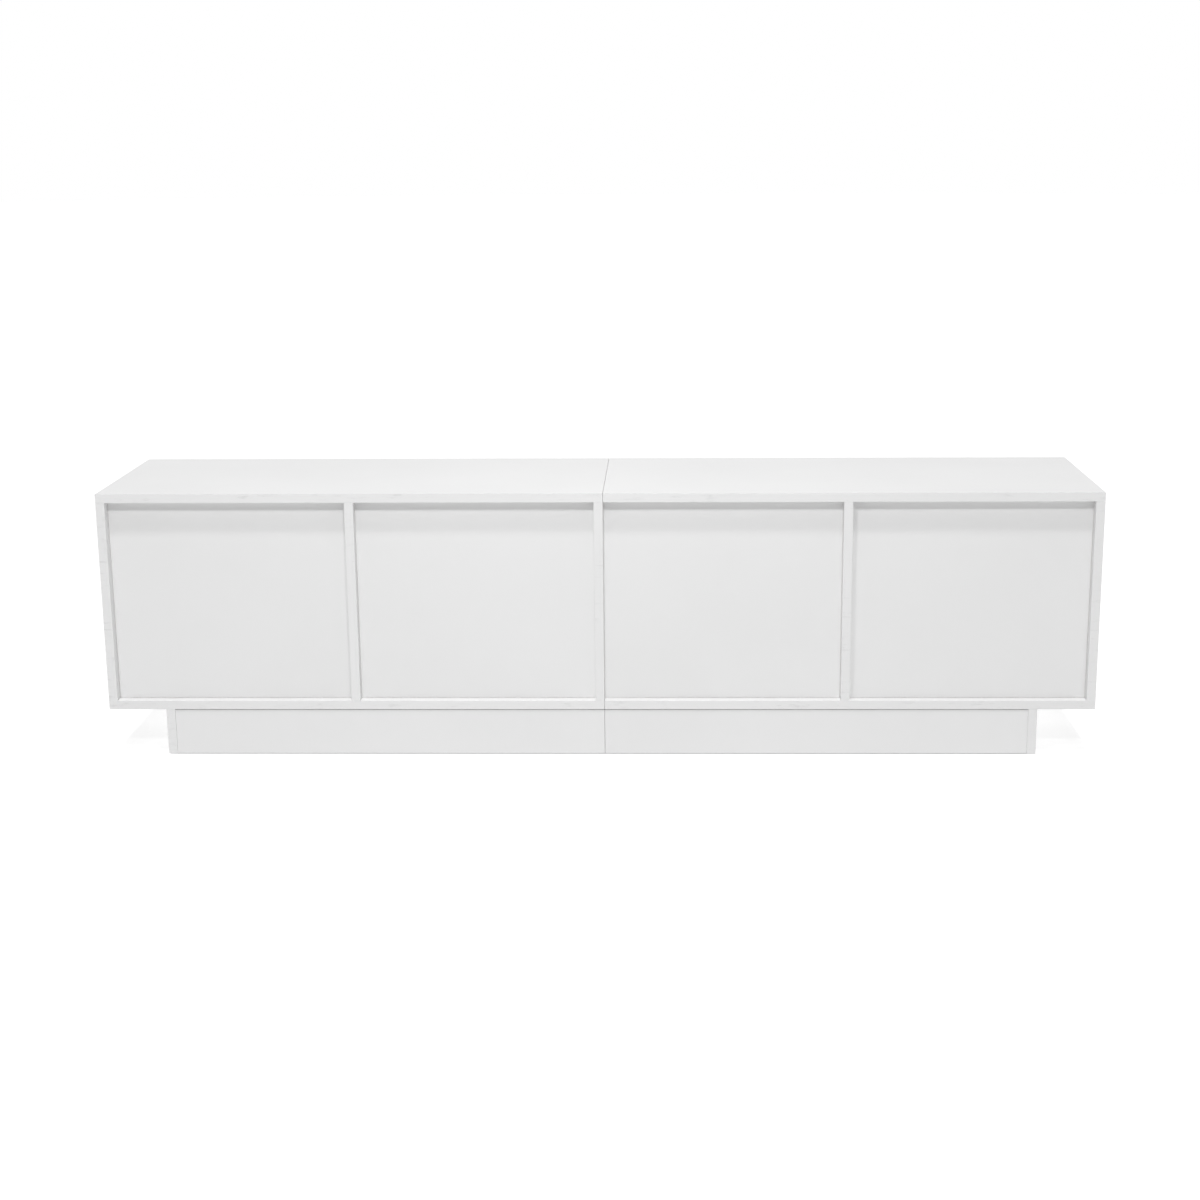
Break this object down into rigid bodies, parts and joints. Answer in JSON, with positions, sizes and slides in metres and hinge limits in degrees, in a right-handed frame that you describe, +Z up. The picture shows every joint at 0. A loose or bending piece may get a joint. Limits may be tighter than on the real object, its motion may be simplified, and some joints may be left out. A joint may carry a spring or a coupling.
{
  "type": "tv stand",
  "caption": "Long low white television stand on a set-in plinth, with flush handleless doors, shelved bays and set-in back panels.",
  "frame": {"origin": "centre of the footprint of the top board, on the floor", "axes": "+X along the stand to the right as seen from the doors, -Y out of the doors, +Z up"},
  "size_m": [2, 0.4, 0.542],
  "materials": {
    "white_board": "white melamine-faced particle board, satin",
    "door_board": "white melamine-faced particle board, satin",
    "back_sheet": "white-lacquered thin hardboard, matt",
    "beech": "plain beech, fluted",
    "steel": "nickel-plated steel",
    "zinc": "zinc-plated",
    "latch_plastic": "moulded, satin",
    "plunger_plastic": "moulded, satin",
    "glide_plastic": "moulded, matt"
  },
  "bodies": {
    "carcass": {"top_board_left": "white_board", "top_board_right": "white_board", "bottom_board_left": "white_board", "bottom_board_right": "white_board", "side_panel_left": "white_board", "divider_left": "white_board", "middle_panel": "white_board", "divider_right": "white_board", "side_panel_right": "white_board", "back_panel_1": "back_sheet", "back_panel_2": "back_sheet", "back_panel_3": "back_sheet", "back_panel_4": "back_sheet", "plinth_side_left": "white_board", "plinth_side_right": "white_board", "plinth_rear_rail_left": "white_board", "plinth_rear_rail_right": "white_board", "plinth_front_rail_left": "white_board", "plinth_front_rail_right": "white_board", "plinth_brace_left": "white_board", "plinth_brace_right": "white_board", "plinth_brace_middle_left": "white_board", "plinth_brace_middle_right": "white_board", "plinth_glides": "glide_plastic", "shelf_1": "white_board", "shelf_2": "white_board", "shelf_3": "white_board", "shelf_4": "white_board", "shelf_pins": "steel", "cam_housings": "zinc", "cam_bolts": "steel", "wood_dowels": "beech", "hinge_arms": "steel", "mounting_plates": "steel", "plate_screws": "zinc", "arm_screws": "zinc", "latch_bodies": "latch_plastic", "latch_screws": "zinc"},
    "door_1": {"door_1": "door_board", "hinge_cups_1": "steel", "hinge_pins_1": "steel", "cup_screws_1": "zinc"},
    "door_2": {"door_2": "door_board", "hinge_cups_2": "steel", "hinge_pins_2": "steel", "cup_screws_2": "zinc"},
    "door_3": {"door_3": "door_board", "hinge_cups_3": "steel", "hinge_pins_3": "steel", "cup_screws_3": "zinc"},
    "door_4": {"door_4": "door_board", "hinge_cups_4": "steel", "hinge_pins_4": "steel", "cup_screws_4": "zinc"},
    "plunger_1": {"latch_plunger_1": "plunger_plastic"},
    "plunger_2": {"latch_plunger_2": "plunger_plastic"},
    "plunger_3": {"latch_plunger_3": "plunger_plastic"},
    "plunger_4": {"latch_plunger_4": "plunger_plastic"}
  },
  "joints": [
    {"name": "door_1_swing", "type": "hinge", "parent": "carcass", "child": "door_1", "pos_m": [-0.991, -0.1925, 0.319], "axis": [0, 0, -1], "range_deg": [0, 95]},
    {"name": "door_2_swing", "type": "hinge", "parent": "carcass", "child": "door_2", "pos_m": [-0.4905, -0.1925, 0.319], "axis": [0, 0, -1], "range_deg": [0, 95]},
    {"name": "door_3_swing", "type": "hinge", "parent": "carcass", "child": "door_3", "pos_m": [0.4905, -0.1925, 0.319], "axis": [0, 0, 1], "range_deg": [0, 95]},
    {"name": "door_4_swing", "type": "hinge", "parent": "carcass", "child": "door_4", "pos_m": [0.991, -0.1925, 0.319], "axis": [0, 0, 1], "range_deg": [0, 95]},
    {"name": "latch_1_press", "type": "slide", "parent": "carcass", "child": "plunger_1", "axis": [0, 1, 0], "range_m": [0, 0.003], "stiffness_N_per_m": 300, "springref_m": -0.02},
    {"name": "latch_2_press", "type": "slide", "parent": "carcass", "child": "plunger_2", "axis": [0, 1, 0], "range_m": [0, 0.003], "stiffness_N_per_m": 300, "springref_m": -0.02},
    {"name": "latch_3_press", "type": "slide", "parent": "carcass", "child": "plunger_3", "axis": [0, 1, 0], "range_m": [0, 0.003], "stiffness_N_per_m": 300, "springref_m": -0.02},
    {"name": "latch_4_press", "type": "slide", "parent": "carcass", "child": "plunger_4", "axis": [0, 1, 0], "range_m": [0, 0.003], "stiffness_N_per_m": 300, "springref_m": -0.02}
  ]
}
